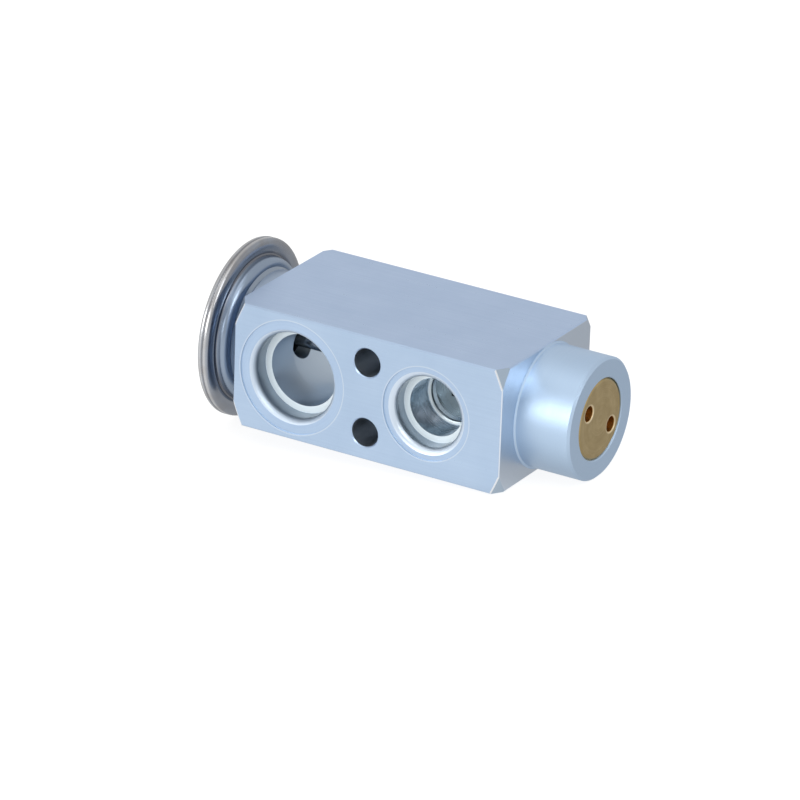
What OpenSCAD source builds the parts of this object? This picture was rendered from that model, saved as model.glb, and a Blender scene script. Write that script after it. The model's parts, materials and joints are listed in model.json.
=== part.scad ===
// Block expansion valve for a vehicle air conditioner, in millimetres.
// X is the long axis: the diaphragm head is at -X and the adjuster at +X.
// The front port face looks to -Y. The origin is on the long axis, midway
// between the two fixing holes.

/* [Block] */
// Length of the block between its two turned ends
block_l = 66; // [64:0.5:72]
// Height of the block
block_h = 28.3; // [27.5:0.1:32]
// From the long axis to the front port face
axis_to_front = 19.2; // [18.5:0.1:22]
// From the long axis to the back port face
axis_to_back = 18.1; // [17.5:0.1:21]
// Small bevel on every edge of the block
edge_bevel = 0.3; // [0.1:0.05:0.6]
// Radius of the turned corner cut at the head end face
head_cut_r = 20.9; // [20:0.1:23]
// Radius of the turned corner cut at the adjuster end face
boss_cut_r = 21.4; // [20:0.1:23]
// How much the corner cuts widen for each millimetre inwards
cut_slope = 1.2; // [0.8:0.1:1.6]

/* [Collar and boss] */
// Radius of the collar that the head seats on
collar_r = 13.65; // [13.4:0.05:14]
// Length of the collar
collar_l = 2.95; // [2.5:0.05:4]
// Radius of the boss around the adjuster
boss_r = 13.5; // [12.5:0.1:14]
// Length of the boss
boss_l = 13.1; // [12.5:0.1:16]
// Bevel on the boss's outer edge
boss_bevel = 0.5; // [0.2:0.1:1]
// Size of the step left by the tool at the boss's root
boss_root = 0.35; // [0.1:0.05:0.6]

/* [Fixing holes] */
// Distance between the two fixing holes
fixing_pitch = 16; // [15.4:0.1:17]
// Radius of a fixing hole
fixing_r = 3.2; // [2.7:0.1:3.4]
// Bevel on the mouths of the fixing holes
fixing_bevel = 0.25; // [0.1:0.05:0.5]

/* [Suction ports] */
// From the fixing holes to the front suction port
suction_x = 18.44; // [18:0.02:19]
// From the fixing holes to the back suction port
suction_back_x = 19.5; // [18.5:0.05:19.6]
// Radius of the spot face around each suction port
suction_spot_r = 12.83; // [12:0.01:13]
// Radius of the suction port's mouth
suction_mouth_r = 10.75; // [10.4:0.05:11.2]
// Radius of the wall that the suction line's O-ring seals on
suction_gland_r = 9.7; // [9.3:0.1:9.9]
// Depth where the suction port's lead-in ends
suction_lead_d = 2.2; // [1.5:0.1:2.8]
// Depth of the suction port's step
suction_step_d = 5.2; // [4.5:0.1:6]
// Radius of the suction passage
passage_r = 8.15; // [7.5:0.05:8.3]
// How far the back half of the passage goes past the long axis
passage_past = 5.5; // [4.5:0.1:6.5]

/* [Liquid ports] */
// From the fixing holes to the inlet port in the front face
inlet_x = 14.73; // [14.6:0.01:16]
// Radius of the spot face around the inlet port
inlet_spot_r = 10.5; // [10:0.1:11]
// Radius of the inlet port's mouth
inlet_mouth_r = 9.35; // [9:0.05:9.6]
// Radius of the wall that the liquid line's O-ring seals on
inlet_gland_r = 8; // [7.6:0.1:8.4]
// Radius of the inlet bore behind the step
inlet_bore_r = 6.5; // [6.2:0.1:6.9]
// Depth of the wide part of the inlet bore
inlet_bore_d = 12; // [11:0.1:12.4]
// Radius of the short land at the end of the inlet bore
inlet_land_r = 5.95; // [5.7:0.05:6.1]
// Length of that land
inlet_land_l = 1; // [0.6:0.1:1.2]
// Radius of the drilled end of the inlet
inlet_drill_r = 5.45; // [5:0.05:5.6]
// From the long axis to the end of the inlet's drilling
inlet_drill_y = 2.8; // [2.6:0.1:3.2]
// From the fixing holes to the outlet port in the back face
outlet_x = 9.6; // [9.4:0.1:10.4]
// Radius of the spot face around the outlet port
outlet_spot_r = 8.9; // [8.7:0.1:9]
// Radius of the outlet port's mouth
outlet_mouth_r = 8.3; // [8:0.1:8.6]
// Radius of the wall that the evaporator line's O-ring seals on
outlet_gland_r = 7.2; // [6.8:0.1:7.4]
// Radius of the outlet bore behind the step
outlet_bore_r = 5.6; // [5.3:0.1:6]
// Depth of the outlet bore
outlet_bore_d = 9.6; // [8:0.1:10]
// From the fixing holes to the drilling down to the outlet chamber
chamber_drill_x = 6.6; // [6.4:0.1:6.8]
// Radius of that drilling
chamber_drill_r = 2.4; // [2:0.1:2.5]
// How far that drilling goes past the long axis
chamber_drill_y = 2; // [1.7:0.1:2.3]
// Depth of the spot faces
spot_d = 0.3; // [0.1:0.05:0.5]
// Depth where the lead-ins of the liquid ports end
liquid_lead_d = 1.7; // [1.2:0.1:2.2]
// Depth of the steps of the liquid ports
liquid_step_d = 4.6; // [4:0.1:5.2]

/* [Valve seat and spring chamber] */
// From the fixing holes to the wide end of the seat
ball_bore_x = 11.5; // [11.3:0.1:11.8]
// Radius of the bore around the ball and its carrier
ball_bore_r = 3.65; // [3.6:0.05:3.9]
// Radius of the orifice
orifice_r = 1.6; // [1.3:0.05:1.7]
// Depth of the seat's 45 degree cone
seat_cone_d = 0.6; // [0.4:0.05:0.9]
// From the fixing holes to the start of the spring chamber
chamber_x = 17; // [16.6:0.1:17.1]
// Radius of the spring chamber
chamber_r = 6.6; // [6.5:0.05:6.8]
// From the fixing holes to the end of the spring chamber
chamber_end_x = 27; // [25.5:0.5:28]
// Radius of the bore that the adjuster's O-ring seals on
seal_bore_r = 7.9; // [7.7:0.05:8]
// From the fixing holes to the end of that bore
seal_bore_end_x = 35; // [34.8:0.1:35.4]

/* [Stem and its seal] */
// Radius of the stem's upper rod, in the suction gas
rod_r = 1.5; // [1.3:0.05:1.7]
// Radius of the stem in its guide
stem_r = 1.15; // [1:0.05:1.25]
// Radius of the stem's tip in the orifice
stem_tip_r = 0.95; // [0.7:0.05:0.95]
// Length of the stem's tip
stem_tip_l = 2.8; // [2.6:0.1:3.4]
// Running clearance around the stem in its guide
stem_clear = 0.05; // [0.03:0.01:0.08]
// Radius of the open hole between head and suction passage
stem_hole_r = 4; // [3.4:0.1:4.3]
// Radius of the pocket for the stem's seal
pocket_r = 3.2; // [3:0.1:3.4]
// From the fixing holes to the floor of that pocket
pocket_x = 4.5; // [4:0.1:4.7]
// Length of the ring that holds the seal
retainer_l = 2; // [1.5:0.1:2.4]

/* [Head] */
// Radius of the head's rim
rim_r = 19.8; // [18.8:0.1:21]
// Thickness of each shell's flange
flange_t = 1.08; // [0.9:0.02:1.2]
// From the collar to the lower shell's flange
flange_h = 3.65; // [3.4:0.05:4.4]
// Radius of the drum's shoulder
drum_r = 16.6; // [16.2:0.1:17]
// Radius where the drum's slope starts
drum_foot_r = 14; // [13.7:0.05:14.3]
// Radius of the flat that seats on the collar
seat_flat_r = 12.9; // [12.75:0.05:13.1]
// Wall of the pressed shells
shell_t = 1; // [0.8:0.05:1.1]
// Radius of the screwed neck
neck_r = 9.9; // [9.5:0.1:10.3]
// Length of the screwed neck
neck_l = 5.2; // [4.5:0.1:5.4]
// Radius of the hole through the neck
neck_bore_r = 8.6; // [8:0.1:8.8]
// Clearance around the neck
neck_clear = 0.1; // [0.05:0.01:0.15]
// Height of the cover's dome above its flange
dome_h = 2.8; // [2.2:0.1:4]
// Radius of the flat top of the dome
dome_top_r = 9.5; // [8:0.5:10.5]
// Thickness of the diaphragm
diaphragm_t = 0.14; // [0.1:0.02:0.2]
// Height of the diaphragm's waves
wave_h = 0.4; // [0.2:0.05:0.6]
// Radius of the charge plug's shank
plug_r = 1.55; // [1.2:0.05:2]
// Radius of the support disc
disc_r = 11.8; // [11:0.1:12]
// Radius of the support disc's hub
hub_r = 3; // [2.4:0.1:3.2]
// Travel of the valve
travel = 0.8; // [0.4:0.05:1]

/* [Ball, spring and adjuster] */
// Radius of the ball
ball_r = 2.4; // [2.3:0.05:2.6]
// Radius of the carrier's cup
cup_r = 3.5; // [3.2:0.05:3.55]
// Length of the cup behind the ball
cup_l = 2.2; // [1.9:0.1:2.6]
// Radius of the carrier's flange
cup_flange_r = 5.4; // [5.2:0.05:5.6]
// Thickness of the carrier's flange
cup_flange_t = 1; // [0.8:0.1:1.4]
// Thickness of the damper clip's sheet
clip_t = 0.3; // [0.2:0.05:0.35]
// Length of the damper clip's legs
clip_leg_l = 4.6; // [3:0.1:5]
// Width of the damper clip's legs
clip_leg_w = 2.2; // [1.6:0.1:3]
// Mean radius of the control spring
spring_r = 4.3; // [4.2:0.05:4.4]
// Radius of the spring's wire
wire_r = 0.5; // [0.35:0.05:0.55]
// Number of turns of the spring
spring_turns = 7; // [5:1:9]
// Radius of the adjuster's thread
adjuster_r = 8.95; // [8.6:0.05:9.2]
// Length of the adjuster's thread
adjuster_thread_l = 7.5; // [6:0.1:7.7]
// How far the adjuster's face lies inside the boss
adjuster_recess = 0.1; // [0.05:0.05:0.5]
// Length of the adjuster
adjuster_l = 14.45; // [13.95:0.05:14.75]
// Depth of the spring's seat in the adjuster
spring_seat_d = 2.2; // [1.5:0.1:3]
// Radius of the adjuster's O-ring groove
adjuster_groove_r = 6.35; // [6.1:0.05:6.6]
// Distance of each spanner hole from the adjuster's centre
spanner_pitch_r = 5.6; // [4.8:0.1:6.4]
// Radius of a spanner hole
spanner_r = 1.7; // [1.2:0.05:1.9]
// Width of the countersink of the spanner holes
spanner_sink = 0.2; // [0.1:0.05:0.4]
// Bevel around the adjuster's outer face
adjuster_bevel = 0.45; // [0.2:0.05:0.6]
// Depth of the spanner holes
spanner_d = 3.2; // [2:0.1:4]
// Turn of the spanner holes around the long axis
spanner_turn = -30.5; // [-90:0.5:90]

/* [Hidden] */
$fn = 96;

// Overshoot of every cutter past the face it cuts
over = 1;
// Gap left between parts that rest on each other with curved faces
touch = 0.03;
// Round on the outer edges of the rim
rim_round = 0.6;
// Bevel at the seam between the two shells
seam_bevel = 0.22;
// Fillet step between drum and flange
drum_fillet = 0.6;
// Bevel at the start of a screwed piece
lead_bevel = 0.5;
// Groove for the head's O-ring in the collar
gasket_in_r = 10.9;
gasket_wire_r = 0.55;
// Width of the adjuster's O-ring groove and of the land before it
o_groove_w = 1.9;
o_land_w = 0.9;
// Socket for the stem in the hub
socket_d = 2.4;
hub_l = 4;

head_x = -block_l / 2 - collar_l;
boss_end_x = block_l / 2 + boss_l;
head_bore_r = neck_r + neck_clear;
head_bore_l = neck_l + lead_bevel;
lower_top = flange_h + flange_t;
upper_base = lower_top + diaphragm_t;
disc_low = shell_t + travel + 2 * touch;
stem_end_x = head_x - disc_low + socket_d;
seat_x = ball_bore_x - seat_cone_d;
ball_x = seat_x - orifice_r + ball_r * sqrt(2) + touch;
flange_x = ball_x + ball_r + touch + cup_l + cup_flange_t;
clip_x = flange_x + clip_t;
adjuster_x = boss_end_x - adjuster_recess;
adjuster_in_x = adjuster_x - adjuster_l;
spring_end_x = adjuster_in_x + spring_seat_d;
o_ring_wire_r = (seal_bore_r - adjuster_groove_r) / 2 - touch;
spring_seat_r = spring_r + wire_r + 0.4;
seal_wire_r = (pocket_r - stem_r) / 2 - touch;
retainer_x = -pocket_x - 2 * seal_wire_r - 2 * touch - retainer_l;
rod_end_x = retainer_x - travel - 4 * stem_clear;
gasket_out_r = gasket_in_r + 2 * gasket_wire_r + 4 * touch;

// Solid turned about the long axis from points [radius, x]
module turned(points) {
    rotate([0, 90, 0])
        rotate_extrude()
            polygon(points);
}

// Frame of the head: points are [radius, height above the collar]
module head_turned(points) {
    translate([head_x, 0, 0])
        rotate([0, -90, 0])
            rotate_extrude()
                polygon(points);
}

// Ring of round section, turned about the long axis
module o_ring(x, mean_r, section_r) {
    translate([x, 0, 0])
        rotate([0, 90, 0])
            rotate_extrude()
                translate([mean_r, 0])
                    circle(r = section_r, $fn = 32);
}

// Points of an arc from angle a to angle b
function arc(cx, cy, r, a, b, n = 4) =
    [for (i = [0:n]) [cx + r * cos(a + (b - a) * i / n), cy + r * sin(a + (b - a) * i / n)]];

// Bar section with bevelled edges, centred on width w and between two heights
module bevelled(w, low, high) {
    b = edge_bevel;
    polygon([[-w / 2 + b, low], [w / 2 - b, low], [w / 2, low + b], [w / 2, high - b],
        [w / 2 - b, high], [-w / 2 + b, high], [-w / 2, high - b], [-w / 2, low + b]]);
}

// Extruded bar, cut to length and bevelled all round
module bar() {
    intersection() {
        rotate([90, 0, 90])
            translate([0, 0, -block_l / 2])
                linear_extrude(block_l)
                    rotate(90)
                        bevelled(block_h, -axis_to_back, axis_to_front);
        translate([0, 0, -block_h / 2])
            linear_extrude(block_h)
                bevelled(block_l, -axis_to_front, axis_to_back);
        rotate([90, 0, 0])
            translate([0, 0, -axis_to_back])
                linear_extrude(axis_to_front + axis_to_back)
                    bevelled(block_l, -block_h / 2, block_h / 2);
    }
}

// Envelope left by turning the corners of both ends
module turned_envelope() {
    far_r = block_h + axis_to_front;
    turned([
        [0, -block_l / 2], [head_cut_r, -block_l / 2],
        [far_r, -block_l / 2 + (far_r - head_cut_r) / cut_slope],
        [far_r, block_l / 2 - (far_r - boss_cut_r) / cut_slope],
        [boss_cut_r, block_l / 2], [0, block_l / 2]
    ]);
}

// Points of a rounded lead-in, from the spot face down to the gland's wall
function lead_in(mouth_r, gland_r, lead_d, n = 5) =
    let (sweep = 65, w = (mouth_r - gland_r) / (1 - cos(sweep)), d = (lead_d - spot_d) / sin(sweep))
    [for (i = [n:-1:0]) let (t = sweep * i / n) [gland_r + w * (1 - cos(t)), lead_d - d * sin(t)]];

// Cutter of a stepped port, looking down its axis from the face
module port(spot_r, mouth_r, gland_r, lead_d, step_d, bore_r, bore_d) {
    rotate_extrude()
        polygon(concat(
            [[0, -over], [spot_r, -over], [spot_r, spot_d]],
            lead_in(mouth_r, gland_r, lead_d),
            [[gland_r, step_d], [bore_r, step_d], [bore_r, bore_d], [0, bore_d]]
        ));
}

// Places a port's cutter on the front or the back face
module on_front(x) {
    translate([x, -axis_to_front, 0])
        rotate([-90, 0, 0])
            children();
}

module on_back(x) {
    translate([x, axis_to_back, 0])
        rotate([90, 0, 0])
            children();
}

module suction_cut(reach) {
    port(suction_spot_r, suction_mouth_r, suction_gland_r, suction_lead_d,
        suction_step_d, passage_r, reach);
}

// Inlet: the port, a land, and the drilling that opens into the spring chamber
module inlet_cut() {
    port(inlet_spot_r, inlet_mouth_r, inlet_gland_r, liquid_lead_d, liquid_step_d,
        inlet_bore_r, inlet_bore_d);
    land_end = inlet_bore_d + inlet_land_l;
    step = inlet_land_r - inlet_drill_r;
    rotate_extrude()
        polygon([
            [0, inlet_bore_d - over], [inlet_bore_r, inlet_bore_d - over],
            [inlet_bore_r, inlet_bore_d],
            [inlet_land_r, inlet_bore_d + (inlet_bore_r - inlet_land_r) / 2],
            [inlet_land_r, land_end], [inlet_drill_r, land_end + step],
            [inlet_drill_r, axis_to_front - inlet_drill_y],
            [0, axis_to_front - inlet_drill_y]
        ]);
}

module outlet_cut() {
    port(outlet_spot_r, outlet_mouth_r, outlet_gland_r, liquid_lead_d, liquid_step_d,
        outlet_bore_r, outlet_bore_d);
}

// Drilling from the outlet bore's floor past the stem
module chamber_drilling() {
    depth = axis_to_back + chamber_drill_y;
    translate([0, 0, outlet_bore_d - over])
        cylinder(r = chamber_drill_r, h = depth - outlet_bore_d + over);
}

module fixing_cut() {
    full_l = axis_to_front + axis_to_back;
    wide_r = fixing_r + fixing_bevel;
    rotate_extrude()
        polygon([
            [0, -over], [wide_r, -over], [wide_r, 0], [fixing_r, fixing_bevel],
            [fixing_r, full_l - fixing_bevel], [wide_r, full_l],
            [wide_r, full_l + over], [0, full_l + over]
        ]);
}

// Bore for the head's neck, with the groove of its O-ring
module head_bore() {
    turned([
        [0, head_x - over], [head_bore_r + lead_bevel / 2, head_x - over],
        [head_bore_r + lead_bevel / 2, head_x], [head_bore_r, head_x + lead_bevel / 2],
        [head_bore_r, head_x + head_bore_l], [0, head_x + head_bore_l]
    ]);
    turned([
        [gasket_in_r, head_x - over], [gasket_out_r, head_x - over],
        [gasket_out_r, head_x + 2 * gasket_wire_r + touch],
        [gasket_in_r, head_x + 2 * gasket_wire_r + touch]
    ]);
}

// Stem hole, seal pocket, guide, orifice and seat, all on the long axis
module stem_line() {
    turned([
        [0, head_x + head_bore_l - over], [stem_hole_r, head_x + head_bore_l - over],
        [stem_hole_r, -suction_x], [0, -suction_x]
    ]);
    turned([
        [0, -suction_x], [pocket_r, -suction_x], [pocket_r, -pocket_x],
        [stem_r + stem_clear, -pocket_x], [stem_r + stem_clear, chamber_drill_x],
        [0, chamber_drill_x]
    ]);
    turned([
        [0, chamber_drill_x], [orifice_r, chamber_drill_x], [orifice_r, seat_x],
        [orifice_r + seat_cone_d, ball_bore_x],
        [orifice_r + seat_cone_d, ball_bore_x + over], [0, ball_bore_x + over]
    ]);
}

// Spring chamber, seal bore and thread bore
module adjuster_bore() {
    thread_bore_r = adjuster_r + neck_clear;
    slope = seal_bore_r - chamber_r;
    turned([
        [0, ball_bore_x], [ball_bore_r, ball_bore_x], [ball_bore_r, chamber_x + over],
        [0, chamber_x + over]
    ]);
    turned([
        [0, chamber_x], [chamber_r, chamber_x], [chamber_r, chamber_end_x - slope],
        [seal_bore_r, chamber_end_x], [seal_bore_r, seal_bore_end_x],
        [thread_bore_r, seal_bore_end_x], [thread_bore_r, boss_end_x - 2 * neck_clear],
        [thread_bore_r + 2 * neck_clear, boss_end_x],
        [thread_bore_r + 2 * neck_clear, boss_end_x + over], [0, boss_end_x + over]
    ]);
}

module valve_body() {
    color("lightsteelblue")
        difference() {
            union() {
                intersection() {
                    bar();
                    turned_envelope();
                }
                turned([[0, head_x], [collar_r, head_x], [collar_r, -block_l / 2 + over],
                    [0, -block_l / 2 + over]]);
                turned([
                    [0, block_l / 2 - over], [boss_r + boss_root, block_l / 2 - over],
                    [boss_r + boss_root, block_l / 2], [boss_r, block_l / 2 + boss_root],
                    [boss_r, boss_end_x - boss_bevel], [boss_r - boss_bevel, boss_end_x],
                    [0, boss_end_x]
                ]);
            }
            on_front(-suction_x)
                suction_cut(axis_to_front);
            on_back(-suction_back_x)
                suction_cut(axis_to_back + passage_past);
            on_front(inlet_x)
                inlet_cut();
            on_back(outlet_x)
                outlet_cut();
            on_back(chamber_drill_x)
                chamber_drilling();
            for (side = [-1, 1])
                translate([0, 0, side * fixing_pitch / 2])
                    on_front(0)
                        fixing_cut();
            head_bore();
            stem_line();
            adjuster_bore();
        }
}

module head_lower_shell() {
    foot_h = drum_foot_r - seat_flat_r;
    shoulder_h = flange_h - 1.5 * drum_fillet;
    in_r = seat_flat_r - shell_t / 4;
    color("silver")
        head_turned(concat(
            [[neck_bore_r, -neck_l], [neck_r - lead_bevel, -neck_l],
                [neck_r, -neck_l + lead_bevel], [neck_r, 0], [seat_flat_r, 0],
                [drum_foot_r, foot_h]],
            arc(drum_foot_r, shoulder_h, drum_r - drum_foot_r, -60, 0, 5),
            [[drum_r + drum_fillet / 5, flange_h - drum_fillet / 2],
                [drum_r + drum_fillet, flange_h]],
            arc(rim_r - rim_round, flange_h + rim_round, rim_round, -90, 0, 3),
            [[rim_r, lower_top - seam_bevel], [rim_r - seam_bevel, lower_top],
                [drum_r + drum_fillet - shell_t, lower_top],
                [drum_r - shell_t, flange_h + drum_fillet / 2],
                [drum_r - shell_t, shoulder_h + shell_t / 4],
                [drum_foot_r - shell_t / 2, foot_h + shell_t * 0.8],
                [in_r, shell_t], [neck_bore_r, shell_t]]
        ));
}

module head_upper_shell() {
    low = upper_base;
    rise = low + dome_h;
    edge = low + flange_t;
    dome_r = drum_r - drum_fillet;
    color("silver")
        head_turned(concat(
            [[rim_r - seam_bevel, low], [rim_r, low + seam_bevel]],
            arc(rim_r - rim_round, edge - rim_round, rim_round, 0, 90, 3),
            [[drum_r, edge], [dome_r, edge + shell_t / 3],
                [(dome_r + dome_top_r) / 2, rise + 0.55 * shell_t],
                [dome_top_r + shell_t, rise + 0.9 * shell_t],
                [dome_top_r, rise + shell_t], [plug_r + touch, rise + shell_t],
                [plug_r + touch, rise], [dome_top_r - shell_t / 4, rise],
                [dome_top_r + shell_t / 2, rise - 0.1 * shell_t],
                [(dome_r + dome_top_r) / 2 - shell_t / 3, rise - 0.4 * shell_t],
                [dome_r - shell_t * 0.7, edge - shell_t / 3], [dome_r - shell_t / 4, low]]
        ));
}

// Height of the diaphragm's waves at radius r
function wave(r) =
    let (first = disc_r + 0.2, last = drum_r - 2 * shell_t)
    (r <= first || r >= last) ? 0 : wave_h * (1 - cos(720 * (r - first) / (last - first))) / 2;

module diaphragm() {
    edge_r = rim_r - 2 * seam_bevel;
    first = disc_r + 0.2;
    last = drum_r - 2 * shell_t;
    steps = [for (i = [0:16]) first + (last - first) * i / 16];
    color("gainsboro")
        head_turned(concat(
            [[0, lower_top]],
            [for (r = steps) [r, lower_top + wave(r)]],
            [[edge_r, lower_top], [edge_r, upper_base]],
            [for (i = [16:-1:0]) [steps[i], upper_base + wave(steps[i])]],
            [[0, upper_base]]
        ));
}

// Plug pressed into the filling hole, with a low round head
module charge_plug() {
    rise = upper_base + dome_h;
    head_r = plug_r * 1.7;
    color("gray")
        head_turned([
            [0, rise - shell_t / 3], [plug_r - 0.2, rise - shell_t / 3], [plug_r, rise],
            [plug_r, rise + shell_t], [head_r, rise + shell_t],
            [head_r, rise + 1.4 * shell_t], [head_r * 0.75, rise + 1.8 * shell_t],
            [head_r * 0.4, rise + 2 * shell_t], [0, rise + 2 * shell_t]
        ]);
}

module head_gasket() {
    color("dimgray")
        o_ring(head_x + gasket_wire_r + touch / 2,
            (gasket_in_r + gasket_out_r) / 2, gasket_wire_r);
}

// Disc under the diaphragm: its hub takes the stem, its underside is the stop
module support_disc() {
    top = lower_top - touch;
    color("darkgray")
        difference() {
            head_turned([
                [0, -hub_l], [hub_r - lead_bevel, -hub_l], [hub_r, -hub_l + lead_bevel],
                [hub_r, disc_low], [disc_r - lead_bevel, disc_low],
                [disc_r, disc_low + lead_bevel], [disc_r, top - lead_bevel],
                [disc_r - lead_bevel, top], [0, top]
            ]);
            turned([
                [0, stem_end_x - touch], [rod_r + touch, stem_end_x - touch],
                [rod_r + touch, head_x + hub_l + over], [0, head_x + hub_l + over]
            ]);
        }
}

// Rod from the support disc to the ball, thinner where it is guided
module stem() {
    end_x = ball_x - ball_r - touch;
    tip_x = end_x - stem_tip_l;
    color("slategray")
        turned([
            [0, stem_end_x], [rod_r - 0.2, stem_end_x], [rod_r, stem_end_x + 0.2],
            [rod_r, rod_end_x - (rod_r - stem_r)], [stem_r, rod_end_x], [stem_r, tip_x], [stem_tip_r, tip_x + (stem_r - stem_tip_r)],
            [stem_tip_r, end_x], [0, end_x]
        ]);
}

module stem_seal() {
    color("dimgray")
        o_ring(-pocket_x - seal_wire_r - touch, stem_r + seal_wire_r + touch, seal_wire_r);
}

module seal_retainer() {
    low = retainer_x;
    color("darkgray")
        turned([
            [stem_r + 2 * stem_clear, low], [pocket_r - lead_bevel / 2, low],
            [pocket_r, low + lead_bevel / 2], [pocket_r, low + retainer_l],
            [stem_r + 2 * stem_clear, low + retainer_l]
        ]);
}

module valve_ball() {
    color("gainsboro")
        translate([ball_x, 0, 0])
            rotate([0, 90, 0])
                sphere(r = ball_r);
}

// Cup that carries the ball, with the flange and the spigot for the spring
module ball_carrier() {
    floor_x = ball_x + ball_r + touch;
    lip_x = ball_x + 0.3;
    spigot_r = spring_r - wire_r - 0.45;
    color("darkgray")
        turned([
            [0, floor_x], [ball_r + touch, floor_x], [ball_r + touch, lip_x],
            [cup_r - 0.3, lip_x], [cup_r, lip_x + 0.3],
            [cup_r, flange_x - cup_flange_t],
            [cup_flange_r, flange_x - cup_flange_t], [cup_flange_r, flange_x],
            [spigot_r, flange_x], [spigot_r, flange_x + 2.4],
            [spigot_r - lead_bevel, flange_x + 2.4 + lead_bevel],
            [0, flange_x + 2.4 + lead_bevel]
        ]);
}

// Flat ring behind the flange, with four bent legs that rub in the chamber
module damper_clip() {
    spigot_r = spring_r - wire_r - 0.45;
    leg_r = chamber_r - 2 * touch;
    color("lightgray")
        union() {
            turned([
                [spigot_r + touch, flange_x], [cup_flange_r - 0.1, flange_x],
                [cup_flange_r - 0.1, clip_x], [spigot_r + touch, clip_x]
            ]);
            intersection() {
                difference() {
                    turned([
                        [spigot_r + 1, flange_x], [leg_r, flange_x],
                        [leg_r, flange_x + clip_leg_l], [spigot_r + 1, flange_x + clip_leg_l]
                    ]);
                    turned([
                        [0, clip_x], [leg_r - clip_t, clip_x],
                        [leg_r - clip_t, flange_x + clip_leg_l + over],
                        [0, flange_x + clip_leg_l + over]
                    ]);
                }
                for (turn = [45, 135])
                    rotate([turn, 0, 0])
                        translate([flange_x - over, -chamber_r, -clip_leg_w / 2])
                            cube([clip_leg_l + 2 * over, 2 * chamber_r, clip_leg_w]);
            }
        }
}

// Height of the spring's wire along its length: dead turns at both ends
function coil_x(t, length) =
    let (dead = 0.75, closed = 2 * wire_r * 1.04)
    t < dead ? t * closed :
    t > spring_turns - dead ? length - (spring_turns - t) * closed :
    dead * closed + (t - dead) * (length - 2 * dead * closed) / (spring_turns - 2 * dead);

module control_spring() {
    sides = 8;
    per_turn = 16;
    rings = spring_turns * per_turn;
    length = spring_end_x - clip_x - 2 * wire_r;
    points = [for (i = [0:rings], k = [0:sides - 1])
        let (
            turn = 360 * i / per_turn,
            out = spring_r + wire_r * cos(360 * k / sides),
            along = clip_x + wire_r + coil_x(i / per_turn, length)
                + wire_r * sin(360 * k / sides)
        )
        [along, out * cos(turn), out * sin(turn)]];
    walls = [for (i = [0:rings - 1], k = [0:sides - 1])
        let (next = (k + 1) % sides)
        [i * sides + k, (i + 1) * sides + k, (i + 1) * sides + next, i * sides + next]];
    start = [[for (k = [0:sides - 1]) k]];
    finish = [[for (k = [sides - 1:-1:0]) rings * sides + k]];
    color("darkslategray")
        polyhedron(points, concat(walls, start, finish), convexity = 10);
}

// Screw plug: thread, O-ring groove, spring seat and two spanner holes
module adjuster() {
    thread_x = adjuster_x - adjuster_thread_l;
    plug_neck_r = seal_bore_r - 5 * touch;
    groove_x = adjuster_in_x + o_land_w;
    color("goldenrod")
        difference() {
            turned([
                [0, spring_end_x], [spring_seat_r, spring_end_x],
                [spring_seat_r, adjuster_in_x], [plug_neck_r - lead_bevel / 2, adjuster_in_x],
                [plug_neck_r, adjuster_in_x + lead_bevel / 2], [plug_neck_r, groove_x],
                [adjuster_groove_r, groove_x], [adjuster_groove_r, groove_x + o_groove_w],
                [plug_neck_r, groove_x + o_groove_w], [plug_neck_r, thread_x],
                [adjuster_r - lead_bevel, thread_x], [adjuster_r, thread_x + lead_bevel],
                [adjuster_r, adjuster_x - adjuster_bevel],
                [adjuster_r - adjuster_bevel, adjuster_x], [0, adjuster_x]
            ]);
            for (side = [0, 180])
                rotate([spanner_turn + side, 0, 0])
                    translate([0, spanner_pitch_r, 0])
                        spanner_hole();
        }
}

// Drilled spanner hole with a small countersink
module spanner_hole() {
    turned([
        [0, adjuster_x - spanner_d - spanner_r / 2], [spanner_r, adjuster_x - spanner_d],
        [spanner_r, adjuster_x - spanner_sink], [spanner_r + spanner_sink, adjuster_x],
        [spanner_r + spanner_sink, adjuster_x + over], [0, adjuster_x + over]
    ]);
}

module adjuster_o_ring() {
    color("dimgray")
        o_ring(adjuster_in_x + o_land_w + o_groove_w / 2,
            adjuster_groove_r + o_ring_wire_r + touch, o_ring_wire_r);
}

valve_body();
head_lower_shell();
head_upper_shell();
diaphragm();
charge_plug();
head_gasket();
support_disc();
stem();
stem_seal();
seal_retainer();
valve_ball();
ball_carrier();
damper_clip();
control_spring();
adjuster();
adjuster_o_ring();
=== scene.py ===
"""Looks of the block expansion valve: finishes, threads, weld, spring and the studio."""

import json
import math
from types import SimpleNamespace

import bmesh
import bpy
from mathutils import Matrix, Vector


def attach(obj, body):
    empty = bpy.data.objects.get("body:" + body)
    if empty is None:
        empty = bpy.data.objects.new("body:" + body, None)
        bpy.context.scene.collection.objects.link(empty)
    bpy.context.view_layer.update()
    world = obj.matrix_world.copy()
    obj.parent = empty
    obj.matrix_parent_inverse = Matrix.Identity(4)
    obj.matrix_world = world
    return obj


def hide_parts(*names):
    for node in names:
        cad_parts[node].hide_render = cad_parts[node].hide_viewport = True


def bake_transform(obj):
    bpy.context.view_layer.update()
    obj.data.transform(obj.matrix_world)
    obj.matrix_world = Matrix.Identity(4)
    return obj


MM = 0.001
TAU = 2 * math.pi

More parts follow.
